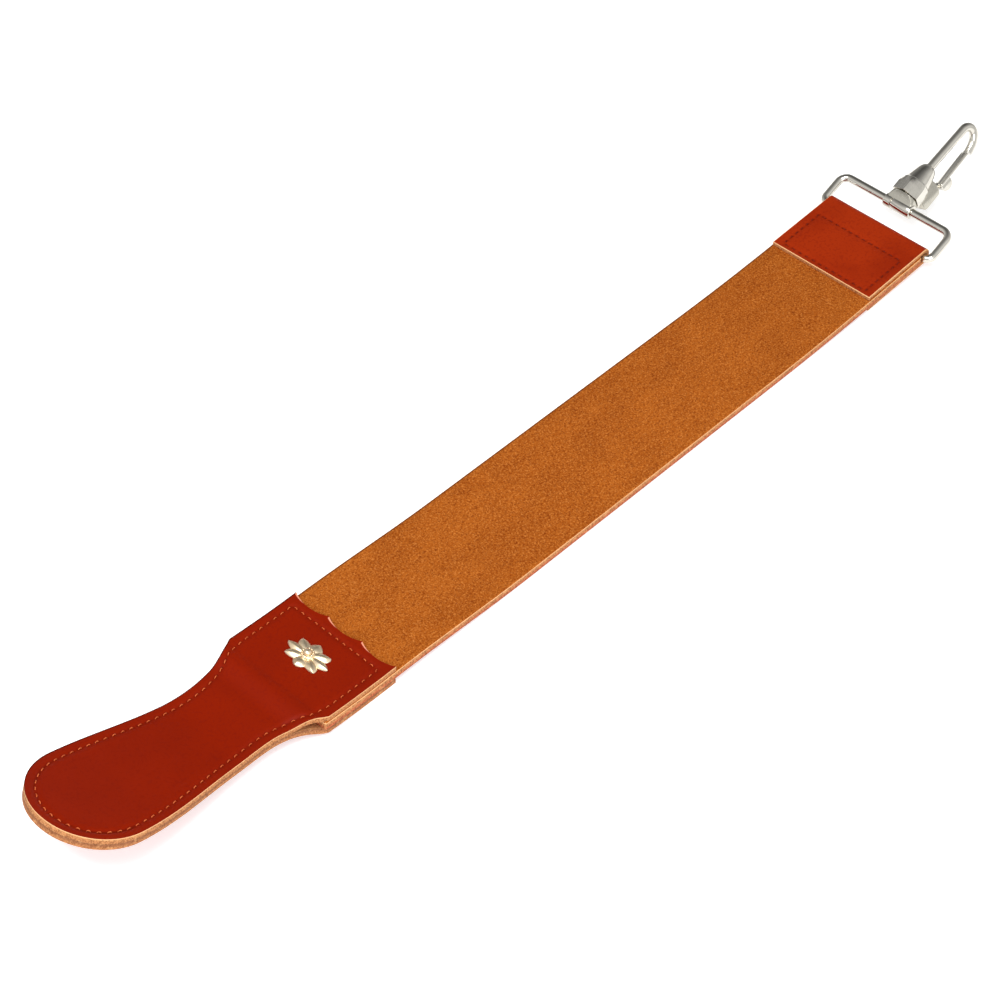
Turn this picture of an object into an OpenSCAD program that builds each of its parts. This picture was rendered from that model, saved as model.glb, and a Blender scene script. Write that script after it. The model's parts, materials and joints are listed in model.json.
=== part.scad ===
// Barber's hanging razor strop: a suede-faced strap, a sewn paddle handle,
// a folded loop tab, a rectangular ring and a swivel snap hook.
// +X runs from the handle's tip to the hook, +Z is up through the suede face.

/* [Strap] */
// Width of the strap
strap_w = 50; // [40:1:70]
// Thickness of the strap's leather
strap_t = 3.8; // [3:0.1:4.5]
// Bare length between the handle and the tab
strap_bare = 266.5; // [220:0.5:320]
// Length over which the strap sinks to the table beside the handle
strap_drop = 70; // [50:1:90]

/* [Handle] */
// Length of the handle along the leather
handle_l = 136.5; // [130:0.5:150]
// Length of the wide end that holds the strap
socket_l = 31.5; // [28:0.5:36]
// Half width at the waist
waist_h = 18; // [16:0.5:20]
// Radius of the round tip
tip_r = 23; // [21:0.5:24]
// Thickness of each facing
facing_t = 2.2; // [1.6:0.1:2.6]
// Radius of the handle's upward curl
curl_r = 382; // [300:1:600]
// Upward bow of the grip just past the strap's end
grip_bow = 2; // [0:0.1:2.4]
// Depth of the three scallops
scallop_d = 2.1; // [1:0.1:3]

/* [Tab] */
// Length from the near edge to the ring's bar
tab_l = 36; // [32:0.5:42]
// Thickness of the tab's leather
tab_t = 1.8; // [1.4:0.1:2.2]
// Rise of the tab towards the ring
tab_tilt = 3.5; // [2.5:0.1:4.5]
// Width left off the tab at each side
tab_inset = 0.5; // [0.3:0.1:1]

/* [Stitching] */
// Distance of the seam from the handle's edge
seam_inset = 3.6; // [3:0.1:5]
// Length of one stitch with its gap
seam_pitch = 3.7; // [3:0.1:5]
// Thickness of the thread
thread_d = 0.7; // [0.5:0.1:0.9]

/* [Ornament] */
// Length of the ornament across the handle
badge_l = 20; // [16:0.5:22]
// Width of the ornament along the handle
badge_w = 13; // [10:0.5:14]

/* [Ring] */
// Thickness of the ring's wire
ring_d = 3.4; // [3:0.1:3.6]
// Half width between the centres of the ring's arms
ring_h = 27.4; // [27.4:0.1:30]
// Length between the centres of the ring's bars
ring_l = 14.5; // [14:0.1:18]
// Rise of the ring from the table
ring_rise = 22.7; // [10:0.1:40]

/* [Hook] */
// Rise of the hook from the table
hook_rise = 25; // [10:0.5:40]
// Turn of the hook's flat side from the table
hook_turn = 60; // [0:1:90]
// Place of the hook along the ring's bar
hook_y = -1.1; // [-10:0.1:10]
// Thickness of the hook's round stock
hook_d = 3.8; // [3.4:0.1:4.2]
// Length from the bar to the end of the body
body_end = 21.5; // [20:0.5:24]

/* [Hidden] */
$fn = 48;

eps = 0.01;
pack_t = 2 * facing_t + strap_t;          // thickness of the handle's wide end
strap_end = socket_l + 1.8;               // how far the strap reaches into the handle
step_l = 13;                              // length of the top facing's step down to the grip
bow_l = 36;                               // length of the grip's bow
bow_lean = 0.62;                          // below 1, the bow is highest near the strap's end
waist_u = socket_l + 25.5;                // where the waist is narrowest
shoulder_h = strap_w / 2 - 0.2;
paddle_u = handle_l - tip_r;              // centre of the round tip
seam_end = 4.3;                           // distance of the cross seam from the scalloped end
cusp_y = strap_w / 6;
tab_pack = 2 * tab_t + strap_t;
tab_x = strap_bare;
bar_gap = 0.08;                           // clearance round each bar of the ring
tab_half = strap_w / 2 - tab_inset;
seam_box = [2.3, 25.1, 20.8];             // near side, far side and half width of the tab's seam
tab_low = tab_t / cos(tab_tilt);          // height of the strap's underside at the tab's near edge
rise_l = 2 * tab_low / tan(tab_tilt);     // length over which the strap climbs to the tab
badge_u = 17.5;                           // place of the ornament on the handle
badge_gap = 0.12;                         // room under the ornament for the leather's curl
prong_y = 5;                              // half distance between the ornament's prongs
prong_r = 0.6;

bar_x = tab_x + tab_l * cos(tab_tilt) - tab_pack / 2 * sin(tab_tilt);
bar_z = tab_l * sin(tab_tilt) + tab_pack / 2 * cos(tab_tilt);
far_x = bar_x + ring_l * cos(ring_rise);
far_z = bar_z + ring_l * sin(ring_rise);

// Hook, in its own frame: +X along the swivel, +Y towards the spine
eye_r = 3;
eye_l = 13;
plate = [2.7, 4.2, 6];                  // start, end and radius of the eye's round plate
rim_x = 4.5;                              // where the hook's body starts
body_r = 6.9;                             // corner radius of the hook's body
body_sides = 6;
shoulder_x = 11.5;                        // where the body's sides start to close in
dome = [16, 5, 2.6];                      // place and radius of the dome's middle, and radius of its end
stud_r = 2;
stud_gap = 0.06;
stud_head = [8.6, 10.2, 3.4];             // start, end and radius of the stud's head
chamber = [8.5, 11, 3.7];
spine_lean = 2.5;
spine_end = [43, -1];
apex_r = 3.3;
apex_turn = 125;
nose_r = 9;
nose_turn = 40;
nose_l = 2.2;
lap = 0.1;                                // how far each stretch of stock runs into the next
swell = 0.12;                             // growth of the stock's thickness at each stretch
pivot = [14.2, -8.3];
pin_r = 0.8;
pin_gap = 0.05;
house = [5.7, 16.8, -9.8, 3.6];          // start, end, outer face and half thickness
slot_h = 2.6;                             // half width of the gate's slot
gate_t = 1.5;
gate_y = -9.15;
knuckle_r = 1.35;
thumb = [21.6, -10.2, 3.1];               // place and radius of the gate's thumb bump
gate_tip = 37.4;
notch_y = -9.35;                          // floor of the notch that stops the gate's tongue
notch_l = 2.7;
coil_r = 1.15;
coil_d = 0.45;

apex_y = spine_end[1] - apex_r * cos(spine_lean);
reach = far_x + (spine_end[0] - apex_r * sin(spine_lean)) * cos(hook_rise)
    - apex_y * sin(hook_turn) * sin(hook_rise)
    + (apex_r * norm([cos(hook_rise), sin(hook_rise) * sin(hook_turn)]) + hook_d / 2);
tip_x = lie(-handle_l, facing_t)[0];
shift = -(reach + tip_x) / 2;

// A point of the flat pattern, laid on the curled handle or the flat strap
function lie(u, z) = u < 0
    ? [(curl_r - z) * sin(u / curl_r * 180 / PI), curl_r - (curl_r - z) * cos(u / curl_r * 180 / PI)]
    : [u, z];
// Height of the strap's underside
function strap_low(u) = u < 0 ? facing_t
    : u < strap_drop ? facing_t * (1 + cos(180 * u / strap_drop)) / 2
    : u < tab_x - rise_l ? 0
    : u < tab_x ? tab_low * pow((u - tab_x + rise_l) / rise_l, 2)
    : tab_low + (u - tab_x) * tan(tab_tilt);
// Height of the bottom facing's underside, which bows up past the strap's end
function grip_low(u) = u > -strap_end || u < -strap_end - bow_l ? 0
    : grip_bow * pow(sin(180 * pow((-u - strap_end) / bow_l, bow_lean)), 2);
// Height of the top facing's underside, stepping down past the strap's end
function facing_low(u) = facing_t + grip_low(u) + (u > -strap_end ? strap_t
    : u < -strap_end - step_l ? 0
    : strap_t * (1 + cos(180 * (-u - strap_end) / step_l)) / 2);
handle_stations = concat([-handle_l - 2], [for (u = [-handle_l + 6 : 8 : -strap_end - bow_l - 1]) u],
    [for (k = [0 : 12]) -strap_end - bow_l + bow_l * k / 12], [-22, -11, 0, 2]);
// Half width of the handle at a distance from the scalloped end
shoulder_arc = (pow(waist_u - socket_l, 2) + pow(shoulder_h - waist_h, 2)) / (2 * (shoulder_h - waist_h));
function handle_half(d) = d < socket_l ? shoulder_h
    : d < waist_u ? waist_h + shoulder_arc - sqrt(pow(shoulder_arc, 2) - pow(waist_u - d, 2))
    : d < paddle_u ? waist_h + (tip_r - waist_h) * (1 - cos(180 * (d - waist_u) / (paddle_u - waist_u))) / 2
    : sqrt(max(0, pow(tip_r, 2) - pow(d - paddle_u, 2)));
// One side of the handle from its wide end to its tip
side_stations = concat([0, socket_l], [for (d = [socket_l + 3 : 4 : paddle_u]) d]);
side_points = concat([for (d = side_stations) [-d, handle_half(d)]],
    [for (a = [0 : 10 : 90]) [-paddle_u - tip_r * sin(a), tip_r * cos(a)]]);
function reversed(p) = [for (i = [len(p) - 1 : -1 : 0]) p[i]];
function mirrored(p) = [for (q = p) [q[0], -q[1]]];

// The seam's route: round the edge, and straight across inside the scallops
seam_side = [for (d = [seam_end : 2 : paddle_u])
    let (slope = (handle_half(d + 0.5) - handle_half(d - 0.5)))
    if (d < socket_l - 3 || d > socket_l + 2)
    [-d + (d > socket_l ? seam_inset * slope / norm([1, slope]) : 0),
        handle_half(d) - seam_inset / norm([1, d > socket_l ? slope : 0])]];
seam_tip = [for (a = [4 : 6 : 90])
    [-paddle_u - (tip_r - seam_inset) * sin(a), (tip_r - seam_inset) * cos(a)]];
seam_half = concat(seam_side, seam_tip);
seam_route = concat(seam_half, reversed(mirrored(seam_half)), [seam_half[0]]);
function run_to(p, i) = i == 0 ? 0 : run_to(p, i - 1) + norm(p[i] - p[i - 1]);
seam_runs = [for (i = [0 : len(seam_route) - 1]) run_to(seam_route, i)];
seam_n = floor(seam_runs[len(seam_runs) - 1] / seam_pitch);
function at_run(p, runs, t) = let (i = max([for (k = [0 : len(runs) - 2]) runs[k] <= t ? k : 0]))
    let (f = (t - runs[i]) / max(eps, runs[i + 1] - runs[i]))
    [p[i] + f * (p[i + 1] - p[i]), atan2(p[i + 1][1] - p[i][1], p[i + 1][0] - p[i][0])];

// ---- helpers ----
module on_handle(u, y, z) {
    p = lie(u, z);
    translate([p[0], y, p[1]]) rotate([0, u < 0 ? -u / curl_r * 180 / PI : 0, 0]) children();
}

// A leather layer seen from the side, drawn along the given stations
module side_band(stations, low, thick, width) {
    under = [for (u = stations) lie(u, low(u))];
    over = [for (u = stations) lie(u, low(u) + thick)];
    rotate([90, 0, 0]) linear_extrude(width, center = true) polygon(concat(under, reversed(over)));
}

module handle_plan(end_points) {
    top = [for (p = side_points) [lie(p[0], facing_t)[0], p[1]]];
    translate([0, 0, -1]) linear_extrude(60) polygon(concat(top, reversed(mirrored(top)), end_points));
}

module stitch(len) {
    translate([-len / 2, -thread_d / 2, -thread_d / 2]) cube([len, thread_d, thread_d / 2]);
}

module handle_stitches(z) {
    for (i = [0 : seam_n - 1]) {
        s = at_run(seam_route, seam_runs, (i + 0.5) * seam_pitch);
        low = z > 0 ? facing_low(s[0][0]) + facing_t : grip_low(s[0][0]);
        on_handle(s[0][0], s[0][1], low) rotate([0, 0, s[1]])
            translate([0, 0, z > 0 ? 0 : thread_d / 2]) stitch(seam_pitch * 0.72);
    }
}

module tab_frame() {
    translate([tab_x, 0, 0]) rotate([0, -tab_tilt, 0]) children();
}

module tab_stitches(z) {
    across = 2 * seam_box[2];
    along = seam_box[1] - seam_box[0];
    n_across = floor(across / seam_pitch);
    n_along = floor(along / seam_pitch);
    for (x = [seam_box[0], seam_box[1]], i = [0 : n_across - 1])
        translate([x, -seam_box[2] + (i + 0.5) * across / n_across, z]) rotate([0, 0, 90])
            stitch(seam_pitch * 0.72);
    for (y = [-seam_box[2], seam_box[2]], i = [0 : n_along - 1])
        translate([seam_box[0] + (i + 0.5) * along / n_along, y, z]) stitch(seam_pitch * 0.72);
}

module on_ring() {
    translate([bar_x, 0, bar_z]) rotate([0, -ring_rise, 0]) children();
}

module on_hook() {
    translate([far_x, hook_y, far_z]) rotate([0, -hook_rise, 0]) rotate([hook_turn, 0, 0]) children();
}

// Round stock along the hook's X axis
module rod(x0, x1, r) {
    translate([x0, 0, 0]) rotate([0, 90, 0]) cylinder(h = x1 - x0, r = r);
}

// ---- leather ----
module strap() {
    stations = concat([-strap_end, -22, -11], [for (u = [0 : strap_drop / 12 : strap_drop]) u],
        [for (k = [0 : 8]) tab_x - rise_l + rise_l * k / 8], [tab_x + (tab_l - 2.6) * cos(tab_tilt)]);
    color("peru") translate([shift, 0, 0]) difference() {
        side_band(stations, function(u) strap_low(u), strap_t, strap_w);
        backplate_cut();
    }
}

module backplate_cut() {
    on_handle(-badge_u, 0, facing_t + strap_t) cube([6.2, 14.2, 1.2], center = true);
}

function scallop(y0, y1) = let (m = (y0 + y1) / 2, c = abs(y1 - y0) / 2)
    let (r = (c * c + scallop_d * scallop_d) / (2 * scallop_d), a = asin(c / r))
    [for (k = [1 : 5]) let (t = -a + 2 * a * k / 6) [1 - scallop_d + r - r * cos(t), m + r * sin(t) * sign(y1 - y0)]];

module handle_top_facing() {
    ends = concat([[1, -shoulder_h]], scallop(-shoulder_h, -cusp_y), [[1, -cusp_y]],
        scallop(-cusp_y, cusp_y), [[1, cusp_y]], scallop(cusp_y, shoulder_h), [[1, shoulder_h]]);
    color("brown") translate([shift, 0, 0]) difference() {
        intersection() {
            side_band(handle_stations, function(u) facing_low(u), facing_t, 60);
            handle_plan(ends);
        }
        for (y = [-prong_y, prong_y])
            on_handle(-badge_u, y, facing_t + strap_t) cylinder(h = 12, r = prong_r + 0.05, center = true);
        handle_stitches(1);
    }
}

module handle_bottom_facing() {
    color("brown") translate([shift, 0, 0]) difference() {
        intersection() {
            side_band(handle_stations, function(u) grip_low(u), facing_t, 60);
            handle_plan([[0.6, -shoulder_h], [0.6, shoulder_h]]);
        }
        handle_stitches(0);
    }
}

module handle_needle_thread() {
    color("chocolate") translate([shift, 0, 0]) handle_stitches(1);
}

module handle_bobbin_thread() {
    color("chocolate") translate([shift, 0, 0]) handle_stitches(0);
}

// ---- loop tab ----
module loop_tab() {
    color("brown") translate([shift, 0, 0]) tab_frame() difference() {
        union() {
            translate([0, -tab_half, 0]) cube([tab_l, 2 * tab_half, tab_pack]);
            translate([tab_l, 0, tab_pack / 2]) rotate([90, 0, 0])
                cylinder(h = 2 * tab_half, r = tab_pack / 2, center = true);
        }
        translate([-1, -tab_half - 1, tab_t]) cube([tab_l + 1, 2 * tab_half + 2, strap_t]);
        translate([tab_l, 0, tab_pack / 2]) rotate([90, 0, 0])
            cylinder(h = 2 * tab_half + 2, r = ring_d / 2 + bar_gap, center = true);
        tab_stitches(tab_pack);
        tab_stitches(thread_d / 2);
    }
}

module tab_needle_thread() {
    color("maroon") translate([shift, 0, 0]) tab_frame() tab_stitches(tab_pack);
}

module tab_bobbin_thread() {
    color("maroon") translate([shift, 0, 0]) tab_frame() tab_stitches(thread_d / 2);
}

// ---- ornament ----
module petal(a, r) {
    rotate(a) translate([r / 2, 0]) scale([1, 0.42]) circle(r = r / 2, $fn = 20);
}

module ornament() {
    color("palegoldenrod") translate([shift, 0, 0]) on_handle(-badge_u, 0, pack_t) {
        translate([0, 0, badge_gap]) linear_extrude(1.3) scale([badge_w / badge_l, 1])
            for (a = [0 : 45 : 315]) petal(a, badge_l / 2);
        translate([0, 0, badge_gap]) cylinder(h = 2.2 - badge_gap, r = 2.6);
        translate([0, 0, 2.2]) sphere(r = 1.4, $fn = 24);
        for (y = [-prong_y, prong_y])
            translate([0, y, -facing_t - 0.3]) cylinder(h = facing_t + 0.5, r = prong_r);
    }
}

module ornament_backplate() {
    color("silver") translate([shift, 0, 0]) on_handle(-badge_u, 0, facing_t + strap_t) difference() {
        translate([-3, -7, -0.58]) cube([6, 14, 0.5]);
        for (y = [-prong_y, prong_y])
            translate([0, y, 0]) cylinder(h = 3, r = prong_r + 0.02, center = true);
    }
}

// ---- ring ----
module quarter(r) {
    rotate_extrude(angle = 90) translate([r, 0]) circle(d = ring_d, $fn = 32);
}

module ring() {
    near_r = 2.6;
    far_r = 4;
    color("gainsboro") translate([shift, 0, 0]) on_ring() {
        rotate([90, 0, 0]) cylinder(h = 2 * (ring_h - near_r), d = ring_d, center = true);
        translate([ring_l, 0, 0]) rotate([90, 0, 0])
            cylinder(h = 2 * (ring_h - far_r), d = ring_d, center = true);
        for (side = [-1, 1]) {
            translate([0, side * ring_h, 0]) rod(near_r, ring_l - far_r, ring_d / 2);
        }
        translate([near_r, ring_h - near_r, 0]) rotate([0, 0, 90]) quarter(near_r);
        translate([near_r, near_r - ring_h, 0]) rotate([0, 0, 180]) quarter(near_r);
        translate([ring_l - far_r, ring_h - far_r, 0]) quarter(far_r);
        translate([ring_l - far_r, far_r - ring_h, 0]) rotate([0, 0, -90]) quarter(far_r);
    }
}

// ---- swivel ----
module swivel_eye() {
    color("silver") translate([shift, 0, 0]) translate([far_x, hook_y, far_z]) rotate([0, -hook_rise, 0])
    difference() {
        union() {
            rotate([90, 0, 0]) cylinder(h = eye_l, r = eye_r, center = true);
            translate([0, -eye_l / 2, -2.2]) cube([plate[0] + 0.3, eye_l, 4.4]);
            rod(plate[0], plate[1], plate[2]);
        }
        rotate([90, 0, 0]) cylinder(h = eye_l + 2, r = ring_d / 2 + bar_gap, center = true);
        rod(2.4, 6, stud_r);
    }
}

module swivel_stud() {
    color("gray") translate([shift, 0, 0]) on_hook() {
        rod(2.4, stud_head[1], stud_r);
        rod(stud_head[0], stud_head[1], stud_head[2]);
    }
}

// ---- hook ----
// A bend of the round stock: starts at the origin heading +X, turns towards -Y and runs on by a lap
module bend(r, turn, d) {
    over = lap / r * 180 / PI;
    translate([0, -r, 0]) rotate([0, 0, 90 - turn - over]) rotate_extrude(angle = turn + over)
        translate([r, 0]) circle(d = d, $fn = 32);
}

module at_bend_end(r, turn) {
    translate([r * sin(turn), -r * (1 - cos(turn)), 0]) rotate([0, 0, -turn]) children();
}

module hook_body() {
    color("silver") translate([shift, 0, 0]) on_hook() difference() {
        union() {
            rotate([0, 90, 0]) translate([0, 0, rim_x])
                cylinder(h = shoulder_x - rim_x, r = body_r, $fn = body_sides);
            rotate([0, 90, 0]) translate([0, 0, shoulder_x - eps])
                cylinder(h = dome[0] - shoulder_x, r1 = body_r, r2 = dome[1], $fn = body_sides);
            rotate([0, 90, 0]) translate([0, 0, dome[0] - 2 * eps])
                cylinder(h = body_end - dome[0], r1 = dome[1], r2 = dome[2], $fn = body_sides);
            hull() {
                translate([house[0], house[2] + 1.2, -house[3]])
                    cube([house[1] - house[0] - 1.5, 7, 2 * house[3]]);
                translate([house[0] + 1.5, house[2], 1.2 - house[3]])
                    cube([house[1] - house[0] - 4.5, 7, 2 * house[3] - 2.4]);
                translate([house[0] + 1, -5, 1.2 - house[3]])
                    cube([house[1] - house[0] - 1, 3, 2 * house[3] - 2.4]);
            }
            spine_and_nose();
        }
        rod(rim_x - 1, chamber[0] + 1, stud_r + stud_gap);
        rod(chamber[0], chamber[1], chamber[2]);
        translate([pivot[0] - 3, house[2] - 1, -slot_h]) cube([12, -6.3 - house[2] + 1, 2 * slot_h]);
        translate([gate_tip - 1, notch_y, -3]) cube([1 + notch_l, 3, 6]);
        translate([pivot[0], pivot[1], 0]) cylinder(h = 20, r = pin_r, center = true);
    }
}

// The round stock thickens a little from the spine to the nose
module spine_and_nose() {
    start = [shoulder_x, spine_end[1] + (spine_end[0] - shoulder_x) * tan(spine_lean)];
    translate([start[0], start[1], 0]) rotate([0, 0, -spine_lean])
        rod(0, norm(spine_end - start) + lap, hook_d / 2);
    translate([spine_end[0], spine_end[1], 0]) rotate([0, 0, -spine_lean]) {
        bend(apex_r, apex_turn, hook_d + swell);
        at_bend_end(apex_r, apex_turn) {
            bend(nose_r, nose_turn, hook_d + 2 * swell);
            at_bend_end(nose_r, nose_turn) rod(0, nose_l, hook_d / 2 + 1.5 * swell);
        }
    }
}

module gate() {
    color("lightgray") translate([shift, 0, 0]) on_hook() difference() {
        union() {
            translate([pivot[0], pivot[1], 0.2 - 2.6]) cylinder(h = 2.6, r = knuckle_r);
            translate([pivot[0], gate_y - gate_t / 2, -2.4]) cube([5.5, gate_t, 2.6]);
            translate([pivot[0] + 5.2, gate_y - gate_t / 2, -2]) cube([gate_tip - pivot[0] - 5.2, gate_t, 4]);
            translate([thumb[0], thumb[1], 0]) cylinder(h = 4, r = thumb[2], center = true);
            translate([gate_tip - 2, notch_y + 0.1, -1.2]) cube([2 + notch_l - 0.4, 0.85, 2.4]);
        }
        translate([pivot[0], pivot[1], 0]) cylinder(h = 20, r = pin_r + pin_gap, center = true);
        translate([thumb[0] - 4, gate_y + gate_t / 2, -5]) cube([8, 5, 10]);
    }
}

module gate_pin() {
    color("gray") translate([shift, 0, 0]) on_hook()
        translate([pivot[0], pivot[1], 0]) cylinder(h = 2 * house[3] - 0.4, r = pin_r, center = true);
}

module gate_spring() {
    color("dimgray") translate([shift, 0, 0]) on_hook() translate([pivot[0], pivot[1], 0]) {
        for (k = [0 : 2]) translate([0, 0, 0.75 + k * 0.65])
            rotate_extrude() translate([coil_r, 0]) circle(d = coil_d, $fn = 16);
        translate([0, coil_r + coil_d + 0.02, 0.75]) rod(0, 4, coil_d / 2);
        translate([0, coil_r + coil_d + 0.02, 2.05]) rod(-2.4, 0, coil_d / 2);
    }
}

strap();
handle_top_facing();
handle_bottom_facing();
handle_needle_thread();
handle_bobbin_thread();
loop_tab();
tab_needle_thread();
tab_bobbin_thread();
ornament();
ornament_backplate();
ring();
swivel_eye();
swivel_stud();
hook_body();
gate();
gate_pin();
gate_spring();
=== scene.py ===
# Barber's hanging razor strop: its looks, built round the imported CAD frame.
import json
from math import ceil, cos, exp, floor, hypot, pi, radians, sin, sqrt, tan

import bmesh
import bpy
from mathutils import Matrix, Vector


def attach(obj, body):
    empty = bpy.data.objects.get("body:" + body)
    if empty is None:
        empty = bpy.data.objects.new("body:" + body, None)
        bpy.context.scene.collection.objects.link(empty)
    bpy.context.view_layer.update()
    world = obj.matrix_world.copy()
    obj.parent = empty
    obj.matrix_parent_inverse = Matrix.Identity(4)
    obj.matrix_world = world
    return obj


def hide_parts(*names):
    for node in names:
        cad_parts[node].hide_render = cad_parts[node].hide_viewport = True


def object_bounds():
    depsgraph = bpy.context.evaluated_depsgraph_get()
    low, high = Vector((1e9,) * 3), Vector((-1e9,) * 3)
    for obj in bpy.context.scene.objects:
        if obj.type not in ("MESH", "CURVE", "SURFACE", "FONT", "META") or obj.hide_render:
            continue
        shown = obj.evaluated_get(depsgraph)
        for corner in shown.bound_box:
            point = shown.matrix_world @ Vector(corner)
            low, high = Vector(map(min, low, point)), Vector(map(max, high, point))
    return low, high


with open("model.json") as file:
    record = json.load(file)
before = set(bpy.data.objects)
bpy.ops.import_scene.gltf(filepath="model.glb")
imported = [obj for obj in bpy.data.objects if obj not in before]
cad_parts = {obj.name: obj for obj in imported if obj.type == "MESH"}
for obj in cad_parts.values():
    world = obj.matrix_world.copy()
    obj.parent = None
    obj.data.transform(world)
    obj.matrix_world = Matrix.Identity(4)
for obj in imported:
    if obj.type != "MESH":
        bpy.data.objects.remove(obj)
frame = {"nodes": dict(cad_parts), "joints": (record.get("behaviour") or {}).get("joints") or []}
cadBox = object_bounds()
mm = 0.001
joints = {joint["name"]: joint for joint in frame["joints"]}
print("frame loaded with", len(frame["nodes"]), "parts")


# Meshes, modifiers and placing

def newPiece(name, points, faces):
    mesh = bpy.data.meshes.new(name)
    mesh.from_pydata([Vector(p) * mm for p in points], [], faces)
    mesh.shade_smooth()
    piece = bpy.data.objects.new(name, mesh)
    bpy.context.scene.collection.objects.link(piece)
    return piece


def addModifier(piece, kind, **settings):
    modifier = piece.modifiers.new(kind.title(), kind)
    for name, value in settings.items():
        setattr(modifier, name, value)
    return piece


def subdivide(piece, levels):
    return addModifier(piece, "SUBSURF", levels=levels, render_levels=levels)


def roundEdges(piece, width, segments=3, angle=35, finish=-1):  # the round may take another finish
    return addModifier(piece, "BEVEL", width=width * mm, segments=segments, limit_method="ANGLE",
                       angle_limit=radians(angle), harden_normals=True, material=finish)


def faceOutward(piece, weld=0.0):
    loose = bmesh.new()
    loose.from_mesh(piece.data)
    if weld:
        bmesh.ops.remove_doubles(loose, verts=loose.verts, dist=weld * mm)
    bmesh.ops.recalc_face_normals(loose, faces=loose.faces)
    loose.to_mesh(piece.data)
    loose.free()
    return piece


def applyStack(piece):
    graph = bpy.context.evaluated_depsgraph_get()
    finished = bpy.data.meshes.new_from_object(piece.evaluated_get(graph), depsgraph=graph)
    name = piece.name
    place = piece.matrix_world.copy()
    bpy.data.objects.remove(piece)
    solid = bpy.data.objects.new(name, finished)
    solid.data.transform(place)
    bpy.context.scene.collection.objects.link(solid)
    return solid


def settle(piece, place):
    piece = applyStack(piece)
    piece.data.transform(place)
    return piece


def joinPieces(name, pieces):
    joined = bmesh.new()
    for piece in pieces:
        joined.from_mesh(piece.data)
    mesh = bpy.data.meshes.new(name)
    joined.to_mesh(mesh)
    joined.free()
    for piece in pieces:
        bpy.data.objects.remove(piece)
    whole = bpy.data.objects.new(name, mesh)
    bpy.context.scene.collection.objects.link(whole)
    return whole


def paint(piece, *finishes):
    if piece.data.materials:
        piece.data.materials.clear()
    for finish in finishes:
        piece.data.materials.append(finish)
    return piece


def fitPiece(piece, body, slot, *nodes):
    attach(piece, body)
    if nodes:
        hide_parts(*nodes)
    return piece


# Shader maths: a Wire is one socket, and sums and products of wires become Math nodes

class Wire:
    def __init__(self, finish, socket):
        self.finish = finish
        self.socket = socket

    def maths(self, operation, first, second=0.0):
        return self.finish.node("Math", {"operation": operation}, {0: first, 1: second})

    def __add__(self, other):
        return self.maths("ADD", self, other)

    def __radd__(self, other):
        return self.maths("ADD", other, self)

    def __sub__(self, other):
        return self.maths("SUBTRACT", self, other)

    def __rsub__(self, other):
        return self.maths("SUBTRACT", other, self)

    def __mul__(self, other):
        return self.maths("MULTIPLY", self, other)

    def __rmul__(self, other):
        return self.maths("MULTIPLY", other, self)

    def step(self, low, high):  # 0 below low, 1 above high, smooth between
        return self.finish.node("MapRange", {"interpolation_type": "SMOOTHSTEP"},
                                {"Value": self, "From Min": low, "From Max": high})


class Finish:
    def __init__(self, name, **fixed):
        self.material = bpy.data.materials.new(name)
        self.material.use_nodes = True
        self.tree = self.material.node_tree
        self.shader = self.tree.nodes["Principled BSDF"]
        for socket, value in fixed.items():
            self.feed(self.shader.inputs[socket.replace("_", " ")], value)
        self.place = self.node("TexCoord", {}, {}, "Object")

    def feed(self, socket, value):
        if isinstance(value, Wire):
            self.tree.links.new(value.socket, socket)
        else:
            socket.default_value = value

    def node(self, kind, settings, inputs, out=0):
        made = self.tree.nodes.new("ShaderNode" + kind)
        for name, value in settings.items():
            setattr(made, name, value)
        for name, value in inputs.items():
            self.feed(made.inputs[name], value)
        return Wire(self, made.outputs[out])

    def noise(self, size, detail=2.0, roughness=0.5, stretch=(1, 1, 1), distortion=0.0):
        where = self.node("Mapping", {}, {"Vector": self.place, "Scale": stretch})
        return self.node("TexNoise", {}, {"Vector": where, "Scale": 1 / (size * mm), "Detail": detail,
                                          "Roughness": roughness, "Distortion": distortion})

    def cells(self, size):
        return self.node("TexVoronoi", {}, {"Vector": self.place, "Scale": 1 / (size * mm)}, "Distance")

    def mix(self, share, first, second):
        return self.node("Mix", {"data_type": "RGBA"}, {0: share, 6: first, 7: second}, 2)

    def attribute(self, name):
        return self.node("Attribute", {"attribute_name": name}, {}, "Fac")

    def bump(self, height, distance, strength=1.0):
        return self.node("Bump", {}, {"Height": height, "Distance": distance * mm, "Strength": strength})

    def finishWith(self, **links):
        for socket, value in links.items():
            self.feed(self.shader.inputs[socket.replace("_", " ")], value)
        return self.material


def tone(red, green, blue):  # a colour as seen on a screen, 0 to 255
    def linear(value):
        value /= 255
        return value / 12.92 if value <= 0.04045 else ((value + 0.055) / 1.055) ** 2.4
    return (linear(red), linear(green), linear(blue), 1.0)


# Camera, floor and lights

view = {"place": (-0.5087, -0.4368, 0.6828), "heading": -47.334, "down": 46.07, "roll": 0.9, "lens": 92.5}
studio = {"floorTone": 0.9, "floorGlow": 0.46, "floorHalf": 3000, "sky": 0.88,
          "key": ((-0.55, -0.1, 1.2), (0.8, 0.5), 12.5), "fill": ((-0.55, -0.95, 0.55), (0.8, 0.4), 4.0),
          "wall": (-0.04, 0.3, 0.05, 1.0), "front": (-0.1, 0.5, 0.0, 0.9), "shade": (0.35, 1.0, 1.0, 0.12),
          "shadeRise": 6}


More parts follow.
